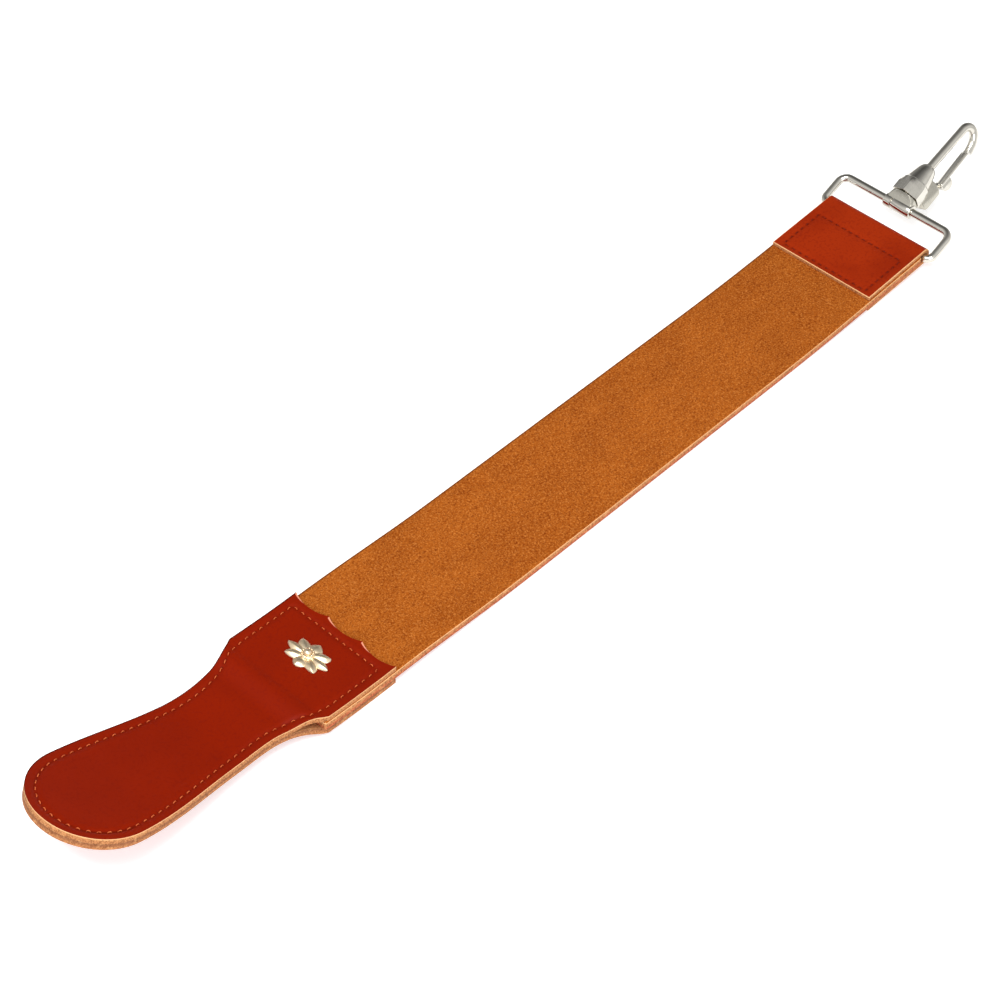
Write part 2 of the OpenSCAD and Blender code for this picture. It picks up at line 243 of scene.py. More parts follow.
def makeCamera():
    data = bpy.data.cameras.new("camera")
    data.lens = view["lens"]
    data.sensor_width = 36
    data.clip_start = 0.01
    camera = bpy.data.objects.new("camera", data)
    bpy.context.scene.collection.objects.link(camera)
    camera.matrix_world = (Matrix.Translation(view["place"])
                           @ Matrix.Rotation(radians(view["heading"]), 4, "Z")
                           @ Matrix.Rotation(radians(90 - view["down"]), 4, "X")
                           @ Matrix.Rotation(radians(view["roll"]), 4, "Z"))
    bpy.context.scene.camera = camera


def makeFloor():
    half = studio["floorHalf"]
    floor = newPiece("floor", [(-half, -half, 0), (half, -half, 0), (half, half, 0), (-half, half, 0)],
                     [(0, 1, 2, 3)])
    plain = Finish("floorPaper", Base_Color=(studio["floorTone"],) * 3 + (1,), Roughness=0.9)
    plain.shader.inputs["Specular IOR Level"].default_value = 0.1
    plain.shader.inputs["Emission Color"].default_value = (1, 1, 1, 1)
    plain.shader.inputs["Emission Strength"].default_value = studio["floorGlow"]
    paint(floor, plain.material)
    floor.location.z = cadBox[0].z - 0.0002


def makeLight(name, place, size, power):  # a soft box that is aimed at the middle of the floor
    data = bpy.data.lights.new(name, "AREA")
    data.shape = "RECTANGLE"
    data.size, data.size_y = size
    data.energy = power
    light = bpy.data.objects.new(name, data)
    bpy.context.scene.collection.objects.link(light)
    light.location = place
    light.rotation_euler = Vector(place).to_track_quat("Z", "Y").to_euler()


def makeSky():  # a white tent with a dark low wall at the back, and a dark panel that keeps the leather deep
    world = bpy.data.worlds.new("studioSky")
    world.use_nodes = True
    bpy.context.scene.world = world
    nodes, links = world.node_tree.nodes, world.node_tree.links
    place = nodes.new("ShaderNodeTexCoord")
    heading, rise = radians(90 + view["heading"]), radians(view["down"] + studio["shadeRise"])

    def shadeAlong(axis, start, end, low, high):  # brightness along a direction of the sky
        aim = nodes.new("ShaderNodeVectorMath")
        aim.operation = "DOT_PRODUCT"
        aim.inputs[1].default_value = axis
        ramp = nodes.new("ShaderNodeMapRange")
        for name, value in zip(("From Min", "From Max", "To Min", "To Max"), (start, end, low, high)):
            ramp.inputs[name].default_value = value
        links.new(place.outputs["Generated"], aim.inputs[0])
        links.new(aim.outputs["Value"], ramp.inputs["Value"])
        return ramp.outputs[0]

    def combine(operation, first, second):
        made = nodes.new("ShaderNodeMath")
        made.operation = operation
        links.new(first, made.inputs[0])
        links.new(second, made.inputs[1])
        return made.outputs[0]

    wall = shadeAlong((0, 0, 1), *studio["wall"])
    front = shadeAlong((0, -1, 0), *studio["front"])
    panel = shadeAlong((cos(rise) * cos(heading), cos(rise) * sin(heading), sin(rise)), *studio["shade"])
    links.new(combine("MULTIPLY", combine("MAXIMUM", wall, front), panel), nodes["Background"].inputs[0])
    nodes["Background"].inputs[1].default_value = studio["sky"]


makeCamera()
makeFloor()
makeSky()
makeLight("keyBox", *studio["key"])
makeLight("fillBox", *studio["fill"])
bpy.context.scene.view_settings.view_transform = "Standard"
print("camera, floor and lights are set")


# The leather's layout: u runs along the leather from the scalloped end, in mm, and is negative in the handle

strapDims = {"width": 50, "thick": 3.8, "bare": 266.5, "drop": 70, "round": 0.55}
tabDims = {"length": 36, "thick": 1.8, "tilt": 3.5, "half": 24.5, "seam": (2.3, 25.1, 20.8),
           "strapGap": 2.6, "round": 0.24, "dent": (0.25, 0.25)}
handleDims = {"length": 136.5, "socket": 31.5, "waistPlace": 57, "waist": 18, "tip": 23, "shoulder": 24.8,
              "facing": 2.2, "curl": 382, "scallop": 2.1, "strapEnd": 33.3, "step": 13, "bow": 2.0,
              "bowLength": 36, "bowLean": 0.62, "bottomEnd": 0.6, "joinAt": 7.0, "topRound": 0.26,
              "topDent": (0.28, 0.3), "lowRound": 0.8, "lowDent": (0.3, 0.25)}
gridDims = {"columns": 72, "spacing": 0.8, "tipRows": 22, "joinRows": 8}
seamDims = {"inset": 3.6, "pitch": 3.4, "end": 4.3, "thread": 0.4, "share": 0.46}

tabPack = 2 * tabDims["thick"] + strapDims["thick"]
tilt = radians(tabDims["tilt"])
barToEnd = strapDims["bare"] + tabDims["length"] * cos(tilt) - tabPack / 2 * sin(tilt)
endX = joints["ring_swing"]["pos_m"][0] / mm - barToEnd  # where the scalloped end lies in the row frame
climb = 2 * tabDims["thick"] / tan(tilt)


def lie(u, z):  # a point of the side view, on the curled handle or the flat strap
    if u >= 0:
        return Vector((endX + u, z))
    radius = handleDims["curl"]
    turn = u / radius
    return Vector((endX + (radius - z) * sin(turn), radius - (radius - z) * cos(turn)))


def strapLow(u):
    facing, thick = handleDims["facing"], tabDims["thick"]
    if u < 0:
        return facing
    if u < strapDims["drop"]:
        return facing * (1 + cos(pi * u / strapDims["drop"])) / 2
    start = strapDims["bare"] - climb
    if u < start:
        return 0.0
    if u < strapDims["bare"]:
        return thick * ((u - start) / climb) ** 2
    return thick + (u - strapDims["bare"]) * tan(tilt)


def gripLow(u):  # the bottom facing's underside, which bows up past the strap's end
    past = (-u - handleDims["strapEnd"]) / handleDims["bowLength"]
    return handleDims["bow"] * sin(pi * past ** handleDims["bowLean"]) ** 2 if 0 < past < 1 else 0.0


def facingLow(u):  # the top facing's underside, which steps down past the strap's end
    past = min(1.0, max(0.0, (-u - handleDims["strapEnd"]) / handleDims["step"]))
    return handleDims["facing"] + gripLow(u) + strapDims["thick"] * (1 + cos(pi * past)) / 2


def handleHalf(d):
    socket, place, waist, tip, shoulder = (handleDims[key] for key in
                                           ("socket", "waistPlace", "waist", "tip", "shoulder"))
    paddle = handleDims["length"] - tip
    arc = ((place - socket) ** 2 + (shoulder - waist) ** 2) / (2 * (shoulder - waist))
    if d < socket:
        return shoulder
    if d < place:
        return waist + arc - sqrt(arc ** 2 - (place - d) ** 2)
    if d < paddle:
        return waist + (tip - waist) * (1 - cos(pi * (d - place) / (paddle - place))) / 2
    return sqrt(max(0.0, tip ** 2 - (d - paddle) ** 2))


def sideNormal(height, u):  # upward normal of a layer whose height above the pattern is given
    ahead = lie(u + 0.2, height(u + 0.2)) - lie(u - 0.2, height(u - 0.2))
    ahead.normalize()
    return Vector((-ahead.y, ahead.x))


def spread(first, last, spacing):
    count = max(1, ceil(abs(last - first) / spacing))
    return [first + (last - first) * k / count for k in range(count + 1)]


# A slab of leather: rows of flat pattern points laid on a side view, with an upper, a lower and a cut face

def layFaces(rows, across):  # faces and their kinds: 0 on the upper side, 1 on the lower, 2 on the cut edge
    size = rows * across
    faces, kinds = [], []
    for i in range(rows - 1):
        for j in range(across - 1):
            a, b = i * across + j, (i + 1) * across + j
            faces += [(a, b, b + 1, a + 1), (a + size, a + 1 + size, b + 1 + size, b + size)]
            kinds += [0, 1]
    last, end = rows - 1, across - 1
    border = ([(i, 0) for i in range(last)] + [(last, j) for j in range(end)]
              + [(i, end) for i in range(last, 0, -1)] + [(0, j) for j in range(end, 0, -1)])
    for (i, j), (m, n) in zip(border, border[1:] + border[:1]):
        a, b = i * across + j, m * across + n
        faces.append((a, a + size, b + size, b))
        kinds.append(2)
    return faces, kinds


def mark(piece, kinds, **fields):
    for attribute, values in fields.items():
        piece.data.attributes.new(attribute, "FLOAT", "POINT").data.foreach_set("value", values)
    piece.data.polygons.foreach_set("material_index", kinds)
    return piece


def makeSlab(name, rows, height, thick, dent=None, flip=False, core=None):
    points, depth, holes, burnt, pale = [], [], [], [], []
    for layer in (0, 1):
        for i, row in enumerate(rows):
            for j, (u, y) in enumerate(row):
                face = lie(u, height(u))
                up = sideNormal(height, u)
                sink, hole = dent(u, y) if dent and layer == 0 else (0.0, 0.0)
                down = sink + thick * layer
                if flip:
                    down = -down
                points.append((face.x - up.x * down, y, face.y - up.y * down))
                depth.append(float(layer))
                # painted shade: how close the point lies to a stitch hole, for darkening the holes
                holes.append(hole)
                # painted shade: the first column lies on the far edge and is marked for a dark line,
                # standing in for the dark reflection on that rounded edge
                burnt.append(1.0 if j == 0 else 0.0)
                # painted highlight: the last row, at the scalloped end, is marked for a pale line on the
                # flanks that turn to the near side
                pale.append(core(y) if core and i == len(rows) - 1 else 0.0)
    faces, kinds = layFaces(len(rows), len(rows[0]))
    if flip:
        faces = [tuple(reversed(face)) for face in faces]
    slab = mark(newPiece(name, points, faces), kinds, depth=depth, holes=holes, burnt=burnt, pale=pale)
    welded = bmesh.new()
    welded.from_mesh(slab.data)
    bmesh.ops.remove_doubles(welded, verts=welded.verts, dist=0.02 * mm)
    welded.to_mesh(slab.data)
    welded.free()
    return slab


# The seam of the handle: round its edge, and straight across behind the scallops

def makeSeamRoute():
    socket, inset, tip = handleDims["socket"], seamDims["inset"], handleDims["tip"]
    paddle = handleDims["length"] - tip
    side = []
    for d in spread(seamDims["end"], paddle, 2):
        if socket - 3 < d < socket + 2:
            continue
        slope = handleHalf(d + 0.5) - handleHalf(d - 0.5) if d > socket else 0.0
        side.append(Vector((-d + inset * slope / hypot(1, slope), handleHalf(d) - inset / hypot(1, slope))))
    for turn in range(4, 91, 6):
        radius = tip - inset
        side.append(Vector((-paddle - radius * sin(radians(turn)), radius * cos(radians(turn)))))
    back = [Vector((p.x, -p.y)) for p in reversed(side)]
    return side + back + [side[0]]


def walk(route, pitch, share):  # the two ends of each stitch along a route
    runs = [0.0]
    for a, b in zip(route, route[1:]):
        runs.append(runs[-1] + (b - a).length)
    count = round(runs[-1] / pitch)
    pitch = runs[-1] / count

    def at(run):
        k = max(i for i in range(len(runs) - 1) if runs[i] <= run)
        part = (run - runs[k]) / max(1e-6, runs[k + 1] - runs[k])
        return route[k].lerp(route[k + 1], part)

    stitches = []
    for i in range(count):
        start = at((i + 0.5 - share / 2) * pitch)
        finish = at((i + 0.5 + share / 2) * pitch)
        stitches.append((start, finish))
    return stitches


handleStitches = walk(makeSeamRoute(), seamDims["pitch"], seamDims["share"])


dentDims = {"groove": 1.0, "hole": 0.75, "cell": 3, "samples": 7}


def makeDent(stitches, depth, pit):  # how far the leather sinks beside its stitches, and at their holes
    cell, last = dentDims["cell"], dentDims["samples"] - 1
    grid = {}
    for start, finish in stitches:
        for k in range(last + 1):
            p = start.lerp(finish, k / last)
            grid.setdefault((floor(p.x / cell), floor(p.y / cell)), []).append((p, k in (0, last)))

    def dent(u, y):
        here = Vector((u, y))
        groove = hole = 9.0
        for i in (-1, 0, 1):
            for j in (-1, 0, 1):
                for p, isEnd in grid.get((floor(u / cell) + i, floor(y / cell) + j), []):
                    gap = (here - p).length
                    groove = min(groove, gap)
                    if isEnd:
                        hole = min(hole, gap)
        pierced = exp(-(hole / dentDims["hole"]) ** 2)
        return depth * exp(-(groove / dentDims["groove"]) ** 2) + pit * pierced, pierced
    return dent


# A stitch of two-ply thread that rises out of one hole and dives into the next

threadDims = {"rings": 7, "sides": 8, "dive": 0.55, "twist": 3.2, "plies": 0.16, "pinch": 0.25}


def makeThreads(name, stitches, toRow, rise):
    points, faces = [], []
    rings, sides, radius = threadDims["rings"], threadDims["sides"], seamDims["thread"] / 2
    for start, finish in stitches:
        base = len(points)
        for k in range(rings):
            t = k / (rings - 1)
            p = start.lerp(finish, t)
            lift = rise - threadDims["dive"] * abs(2 * t - 1) ** 3
            centre, up = toRow(p.x, p.y, lift)
            ahead = (toRow(finish.x, finish.y, 0)[0] - toRow(start.x, start.y, 0)[0]).normalized()
            side = up.cross(ahead)
            for s in range(sides):
                turn = 2 * pi * s / sides
                ply = 1 + threadDims["plies"] * cos(2 * (turn + threadDims["twist"] * t))
                thick = radius * ply * (1 - threadDims["pinch"] * abs(2 * t - 1) ** 4)
                points.append(centre + (side * cos(turn) + up * sin(turn)) * thick)
        for k in range(rings - 1):
            for s in range(sides):
                n = (s + 1) % sides
                faces.append((base + k * sides + s, base + (k + 1) * sides + s,
                              base + (k + 1) * sides + n, base + k * sides + n))
        faces.append(tuple(base + s for s in range(sides)))
        faces.append(tuple(base + (rings - 1) * sides + s for s in reversed(range(sides))))
    threads = faceOutward(newPiece(name, points, faces))
    threads.data.shade_smooth()
    return threads


# Leather finishes

# the suede's far-edge colour is painted shade
suedeLook = {"tan": tone(167, 83, 18), "brown": tone(139, 60, 3), "light": tone(192, 111, 40),
             "speck": tone(108, 38, 0), "glint": tone(222, 140, 66), "burnt": tone(84, 40, 12),
             "sheen": tone(255, 190, 120), "nap": 0.6, "patch": 17}
# the hole colour is painted shade in the stitch holes
# the pale red-leather colour is a painted highlight on the scallop flanks
# the red leather's far-edge colour is painted shade
# the tab colour is a lighter red painted for the light on the tilted tab
redLook = {"red": tone(134, 26, 1), "deep": tone(123, 22, 1), "tab": tone(158, 44, 8),
           "pore": tone(110, 16, 6), "hole": tone(88, 14, 2), "burnt": tone(52, 14, 6),
           "pale": tone(232, 150, 118), "grain": 0.9}
# the line colour is painted shade where a cut edge meets the next layer or the floor
edgeLook = {"tan": tone(196, 136, 86), "dark": tone(112, 62, 30), "pink": tone(186, 98, 62),
            "brown": tone(186, 124, 78), "low": tone(150, 96, 62), "line": tone(64, 44, 40),
            "clump": tone(226, 172, 116), "shine": tone(244, 192, 138)}
fleshLook = {"light": tone(205, 150, 100), "dark": tone(170, 110, 66)}


def makeSuede():
    suede = Finish("suedeNap", Roughness=0.95)
    suede.shader.inputs["Specular IOR Level"].default_value = 0.06
    suede.shader.inputs["Sheen Weight"].default_value = 0.06
    suede.shader.inputs["Sheen Roughness"].default_value = 0.5
    suede.shader.inputs["Sheen Tint"].default_value = suedeLook["sheen"]
    patches = suede.noise(suedeLook["patch"], 3, 0.55, (0.6, 1, 1), 0.6).step(0.38, 0.66)
    streaks = suede.noise(5, 2, 0.6, (0.35, 1, 1), 0.3).step(0.35, 0.7)
    nap = suede.noise(suedeLook["nap"], 4, 0.75)
    specks = suede.noise(0.8, 3, 0.7).step(0.48, 0.64)
    glints = suede.noise(0.66, 3, 0.7, (1.1, 0.9, 1)).step(0.5, 0.66)
    colour = suede.mix(patches * 0.55 + streaks * 0.3, suedeLook["brown"], suedeLook["tan"])
    colour = suede.mix(nap.step(0.34, 0.66) * 0.65, colour, suedeLook["light"])
    colour = suede.mix(specks * 0.62, colour, suedeLook["speck"])
    colour = suede.mix(glints * 0.52, colour, suedeLook["glint"])
    # painted shade: a dark line along the strap's far edge
    colour = suede.mix(suede.attribute("burnt").step(0.45, 0.7) * 0.75, colour, suedeLook["burnt"])
    height = nap + patches * 0.2
    return suede.finishWith(Base_Color=colour, Normal=suede.bump(height, 0.35, 0.6))


# rim turns on the painted shade along the far edge and the painted highlight on the scallops
def makeRedLeather(name, base, holes=True, rim=False):
    red = Finish(name)
    red.shader.inputs["Specular IOR Level"].default_value = 0.06
    clouds = red.noise(26, 3, 0.5).step(0.35, 0.68)
    grain = red.cells(redLook["grain"])
    pores = red.noise(0.3, 2, 0.6)
    colour = red.mix(clouds * 0.5, base, redLook["deep"])
    colour = red.mix(grain.step(0.55, 0.8) * 0.25, colour, redLook["pore"])
    if holes:
        # painted shade: darker red in the stitch holes
        colour = red.mix(red.attribute("holes").step(0.3, 0.95) * 0.6, colour, redLook["hole"])
    if rim:
        # painted shade: a dark line along the far edge of the facings
        colour = red.mix(red.attribute("burnt").step(0.05, 0.5) * 0.75, colour, redLook["burnt"])
        # painted highlight: a pale line on the scallops' near-side flanks
        colour = red.mix(red.attribute("pale").step(0.2, 0.45), colour, redLook["pale"])
    rough = 0.42 + clouds * 0.06 + pores * 0.08
    bump = red.bump(grain * 0.7 + pores * 0.3, 0.05, 0.35)
    return red.finishWith(Base_Color=colour, Roughness=rough, Normal=bump)


def makeCutEdge(name, upper, lower, line=0.0, shine=0.75):
    edge = Finish(name, Roughness=0.85)
    edge.shader.inputs["Specular IOR Level"].default_value = 0.2
    depth = edge.attribute("depth")
    fibres = edge.noise(0.55, 4, 0.7, (1, 1, 0.8))
    clumps = edge.noise(1.6, 2, 0.5, (1, 1, 0.9))
    colour = edge.mix(depth.step(0.25, 0.8), upper, lower)
    colour = edge.mix(fibres.step(0.44, 0.6) * 0.75, colour, edgeLook["dark"])
    colour = edge.mix(clumps.step(0.55, 0.75) * 0.35, colour, edgeLook["clump"])
    colour = edge.mix((1 - depth.step(0.08, 0.24)) * shine, colour, edgeLook["shine"])
    # painted shade: a dark line on the cut edge's inner face, where it meets the next layer or the floor
    if line:
        colour = edge.mix(depth.step(0.9, 0.99) * line, colour, edgeLook["line"])
    return edge.finishWith(Base_Color=colour, Normal=edge.bump(fibres + clumps * 0.5, 0.25, 0.6))


def makeFlesh():
    flesh = Finish("fleshSide", Roughness=0.9)
    fibres = flesh.noise(0.8, 4, 0.7)
    colour = flesh.mix(fibres.step(0.35, 0.65), fleshLook["light"], fleshLook["dark"])
    return flesh.finishWith(Base_Color=colour, Normal=flesh.bump(fibres, 0.2, 0.6))


suede = makeSuede()
redLeather = makeRedLeather("redLeather", redLook["red"], rim=True)
# painted light: a lighter copy of the red leather, standing in for the light on the tilted tab
litTabLeather = makeRedLeather("litTabLeather", redLook["tab"])
strapGrain = makeRedLeather("strapGrain", redLook["red"], holes=False)
# the third number sets the strength of the painted shade line on each cut edge
facingEdge = makeCutEdge("facingEdge", edgeLook["tan"], edgeLook["brown"], 0.25)
underEdge = makeCutEdge("underEdge", edgeLook["brown"], edgeLook["low"], 0.6, 0.0)
strapEdge = makeCutEdge("strapEdge", edgeLook["tan"], edgeLook["pink"], 0.8)
fleshSide = makeFlesh()
print("leather finishes are mixed")


# Strap, handle facings and loop tab

def makeStrap():
    far = strapDims["bare"] + (tabDims["length"] - tabDims["strapGap"]) * cos(tilt)
    half = strapDims["width"] / 2
    rows = [[(u, y) for y in spread(half, -half, 2)] for u in spread(-handleDims["strapEnd"], far, 3)]
    strap = makeSlab("strapLeather", rows, lambda u: strapLow(u) + strapDims["thick"], strapDims["thick"])
    paint(strap, suede, strapGrain, strapEdge)
    roundEdges(strap, strapDims["round"])
    return fitPiece(strap, "strop", "strap_leather", "strap")


def scallopEnd(y):  # how far a scalloped end reaches at a place across it
    shoulder = handleDims["shoulder"]
    chord, deep = shoulder / 3, handleDims["scallop"]
    radius = (chord ** 2 + deep ** 2) / (2 * deep)
    off = (y + shoulder) % (2 * chord) - chord
    if abs(abs(y) - shoulder) < 0.01:
        off = chord
    return 1 - deep + radius - sqrt(radius ** 2 - off ** 2)


def facingRows(endAt):
    columns, spacing, tipRows, joinRows = gridDims.values()
    tip, joinAt = handleDims["tip"], handleDims["joinAt"]
    paddle = handleDims["length"] - tip
    shares = [1 - 2 * j / columns for j in range(columns + 1)]
    rows = []
    for k in range(tipRows, 0, -1):
        turn = pi / 2 * k / tipRows
        rows.append([(-paddle - tip * sin(turn), tip * cos(turn) * s) for s in shares])
    for u in spread(-paddle, -joinAt, spacing):
        rows.append([(u, handleHalf(-u) * s) for s in shares])
    for k in range(1, joinRows + 1):
        row = []
        for s in shares:
            y = handleDims["shoulder"] * s
            row.append((-joinAt + (joinAt + endAt(y)) * k / joinRows, y))
        rows.append(row)
    return rows


def makeTopFacing():
    facing = handleDims["facing"]
    dent = makeDent(handleStitches, *handleDims["topDent"])
    rows = facingRows(scallopEnd)

    def pale(y):  # painted highlight: a pale line on the scallops' flanks that turn to the near side
        return min(1.0, max(0.0, (scallopEnd(y + 0.2) - scallopEnd(y - 0.2)) * 5))
    top = makeSlab("handleTopFacing", rows, lambda u: facingLow(u) + facing, facing, dent, core=pale)
    paint(top, redLeather, fleshSide, facingEdge)
    roundEdges(top, handleDims["topRound"], angle=50, finish=2)
    return fitPiece(top, "strop", "facing_leather", "handle_top_facing")


def makeBottomFacing():
    dent = makeDent(handleStitches, *handleDims["lowDent"])
    rows = facingRows(lambda y: handleDims["bottomEnd"])
    bottom = makeSlab("handleBottomFacing", rows, gripLow, handleDims["facing"], dent, flip=True)
    paint(bottom, redLeather, fleshSide, underEdge)
    roundEdges(bottom, handleDims["lowRound"], angle=50)
    return fitPiece(bottom, "strop", "facing_leather", "handle_bottom_facing")


def onTop(u, y, lift):
    def height(at):
        return facingLow(at) + handleDims["facing"]
    up = sideNormal(height, u)
    p = lie(u, height(u)) + up * lift
    return Vector((p.x, y, p.y)), Vector((up.x, 0, up.y))


def onBottom(u, y, lift):
    up = -sideNormal(gripLow, u)
    p = lie(u, gripLow(u)) + up * lift
    return Vector((p.x, y, p.y)), Vector((up.x, 0, up.y))


makeStrap()
makeTopFacing()
makeBottomFacing()
print("strap and handle leather are made")


def makeThread(name, base, light):
    thread = Finish(name, Roughness=0.6)
    thread.shader.inputs["Specular IOR Level"].default_value = 0.15
    fuzz = thread.noise(0.35, 3, 0.6)
    colour = thread.mix(fuzz.step(0.35, 0.65), base, light)
    return thread.finishWith(Base_Color=colour, Normal=thread.bump(fuzz, 0.08, 0.5))


threadLook = {"tan": (tone(166, 60, 24), tone(220, 112, 62)), "red": (tone(98, 18, 4), tone(122, 30, 10))}
tanThread = makeThread("tanThread", *threadLook["tan"])
redThread = makeThread("redThread", *threadLook["red"])
needle = paint(makeThreads("handleNeedleThread", handleStitches, onTop, -0.08), tanThread)
fitPiece(needle, "strop", "tan_thread", "handle_needle_thread")
bobbin = paint(makeThreads("handleBobbinThread", handleStitches, onBottom, -0.22), tanThread)
fitPiece(bobbin, "strop", "tan_thread", "handle_bobbin_thread")

# The tab is folded round the ring's bar: its path is a U seen from the side, in the tab's own tilted frame

tabFrame = (Matrix.Translation((endX + strapDims["bare"], 0, 0)) @ Matrix.Rotation(-tilt, 4, "Y"))


def tabPath():  # the tab's outer face from its upper near edge, round the bar, to its lower near edge
    length = tabDims["length"]
    radius = tabPack / 2
    path = [(x, tabPack) for x in spread(0, length, 0.9)]
    path += [(length + radius * sin(radians(turn)), radius + radius * cos(radians(turn)))
             for turn in range(10, 180, 10)]
    path += [(x, 0.0) for x in spread(length, 0, 0.9)]
    return [Vector(p) for p in path]


def tabRoute():
    near, far, half = tabDims["seam"]
    return [Vector(p) for p in ((near, half), (far, half), (far, -half), (near, -half), (near, half))]


tabStitches = walk(tabRoute(), seamDims["pitch"], seamDims["share"])


def makeTab():
    path = tabPath()
    dent = makeDent(tabStitches, *tabDims["dent"])
    half = tabDims["half"]
    columns = spread(half, -half, 0.8)
    points, depth, holes = [], [], []
    for layer in (0, 1):
        for k, p in enumerate(path):
            ahead = (path[min(k + 1, len(path) - 1)] - path[max(k - 1, 0)]).normalized()
            out = Vector((-ahead.y, ahead.x))
            for y in columns:
                sink, hole = dent(p.x, y) if layer == 0 and p.x < tabDims["length"] - 4 else (0.0, 0.0)
                down = sink + layer * tabDims["thick"]
                points.append((p.x - out.x * down, y, p.y - out.y * down))
                depth.append(float(layer))
                holes.append(hole)
    faces, kinds = layFaces(len(path), len(columns))
    tab = mark(newPiece("loopTab", points, faces), kinds, depth=depth, holes=holes)
    place = tabFrame.copy()
    place.translation *= mm
    tab.data.transform(place)
    paint(tab, litTabLeather, fleshSide, facingEdge)
    roundEdges(tab, tabDims["round"], angle=50, finish=2)
    return fitPiece(tab, "strop", "facing_leather", "loop_tab")


def onTabTop(x, y, lift):
    return tabFrame @ Vector((x, y, tabPack + lift)), tabFrame.to_3x3() @ Vector((0, 0, 1))


def onTabBottom(x, y, lift):
    return tabFrame @ Vector((x, y, -lift)), tabFrame.to_3x3() @ Vector((0, 0, -1))


makeTab()
tabNeedle = paint(makeThreads("tabNeedleThread", tabStitches, onTabTop, -0.1), redThread)
fitPiece(tabNeedle, "strop", "red_thread", "tab_needle_thread")
tabBobbin = paint(makeThreads("tabBobbinThread", tabStitches, onTabBottom, -0.22), redThread)
fitPiece(tabBobbin, "strop", "red_thread", "tab_bobbin_thread")
print("loop tab and threads are sewn")


# Metal finishes

def makeMetal(name, colour, shade, rough, scuff):
    metal = Finish(name, Metallic=1.0)
    cloud = metal.noise(3, 3, 0.6)
    fine = metal.noise(0.4, 2, 0.5, (0.4, 1, 1))
    tint = metal.mix(cloud.step(0.4, 0.75) * 0.5, colour, shade)
    return metal.finishWith(Base_Color=tint, Roughness=rough + cloud * scuff,
                            Normal=metal.bump(fine, 0.01, 0.15))


metalLook = {"nickel": (tone(213, 209, 199), tone(198, 194, 184), 0.1, 0.08),
             "cast": (tone(188, 184, 172), tone(172, 168, 157), 0.16, 0.1),
             "gold": (tone(252, 232, 198), tone(226, 196, 154), 0.3, 0.14),
             "steel": (tone(190, 190, 188), tone(160, 160, 158), 0.3, 0.15)}
nickel = makeMetal("nickelPlate", *metalLook["nickel"])
castNickel = makeMetal("castNickel", *metalLook["cast"])
paleGold = makeMetal("paleGold", *metalLook["gold"])
steel = makeMetal("plainSteel", *metalLook["steel"])
for node in ("ornament_backplate", "swivel_stud", "gate_pin", "gate_spring"):
    paint(frame["nodes"][node], steel)


# Ring: round wire bent to a rectangle, in its own tilted frame

ringDims = {"wire": 3.4, "half": 27.4, "length": 14.5, "nearBend": 2.6, "farBend": 4.0}


def jointPlace(joint):
    return Vector(joints[joint]["pos_m"])


def framed(origin, along, normal):  # a frame with +X along and +Z normal
    across = normal.cross(along).normalized()
    return Matrix.Translation(origin) @ Matrix((along, across, normal)).transposed().to_4x4()


def roundCorner(centre, radius, first, turn, steps):
    return [(centre[0] + radius * cos(radians(first + turn * k / steps)),
             centre[1] + radius * sin(radians(first + turn * k / steps))) for k in range(steps + 1)]


def makeWire(name, points, radius, closed=False, sizes=None, sides=6):
    data = bpy.data.curves.new(name, "CURVE")
    data.dimensions = "3D"
    data.bevel_depth = radius * mm
    data.bevel_resolution = sides
    data.use_fill_caps = True
    line = data.splines.new("POLY")
    line.points.add(len(points) - 1)
    for k, point in enumerate(points):
        line.points[k].co = (*(Vector(point) * mm), 1)
        line.points[k].radius = sizes[k] if sizes else 1.0
    line.use_cyclic_u = closed
    line.use_smooth = True
    wire = bpy.data.objects.new(name, data)
    bpy.context.scene.collection.objects.link(wire)
    return wire


def makeRing():
    half, length, near, far = (ringDims[key] for key in ("half", "length", "nearBend", "farBend"))
    route = (roundCorner((near, half - near), near, 180, -90, 8)
             + roundCorner((length - far, half - far), far, 90, -90, 12)
             + roundCorner((length - far, far - half), far, 0, -90, 12)
             + roundCorner((near, near - half), near, 270, -90, 8))
    wire = makeWire("rectangularRing", [(x, y, 0) for x, y in route], ringDims["wire"] / 2, closed=True)
    along = (jointPlace("eye_swing") - jointPlace("ring_swing")).normalized()
    ring = settle(wire, framed(jointPlace("ring_swing"), along, along.cross(Vector((0, 1, 0)))))
    ring.data.shade_smooth()
    paint(ring, nickel)
    return fitPiece(ring, "ring", "nickel_plate", "ring")


makeRing()

# Swivel eye and snap hook, in frames with +X along the swivel's axis

swivelAxis = Vector(joints["hook_swivel"]["axis"])
hookNormal = Vector(joints["gate_open"]["axis"])
hookFrame = framed(jointPlace("hook_swivel"), swivelAxis, hookNormal)
eyeFrame = framed(jointPlace("hook_swivel"), swivelAxis, swivelAxis.cross(Vector((0, 1, 0))))

eyeDims = {"radius": 3.0, "length": 13, "bore": 1.78, "plate": (3.8, 4.4, 4.7), "groove": 2.4}
hookDims = {"rim": 4.5, "body": 6.9, "sides": 6, "shoulder": 11.5,
            "cuts": ((2.9, 0.0), (1.5, 0.3), (0.0, 0.85)),
            "dome": ((12.0, 5.65), (13.6, 5.25), (15.2, 4.85), (17, 4.4), (18.6, 3.95), (19.9, 3.4),
                     (20.8, 2.6), (21.3, 1.5)),
            "stock": 3.8, "lean": 2.5, "spineEnd": (43, -1), "apex": 3.3, "apexTurn": 125, "nose": 9,
            "noseTurn": 40, "noseEnd": 2.2, "house": (5.8, 16.8, -9.8, 3.6), "houseBend": 2.0,
            "houseRoot": ((0.5, -4.6), (0, -2.5), (0.8, -2.5)), "slot": (2.6, -6.3),
            "slotEnds": (11.2, 23.2)}
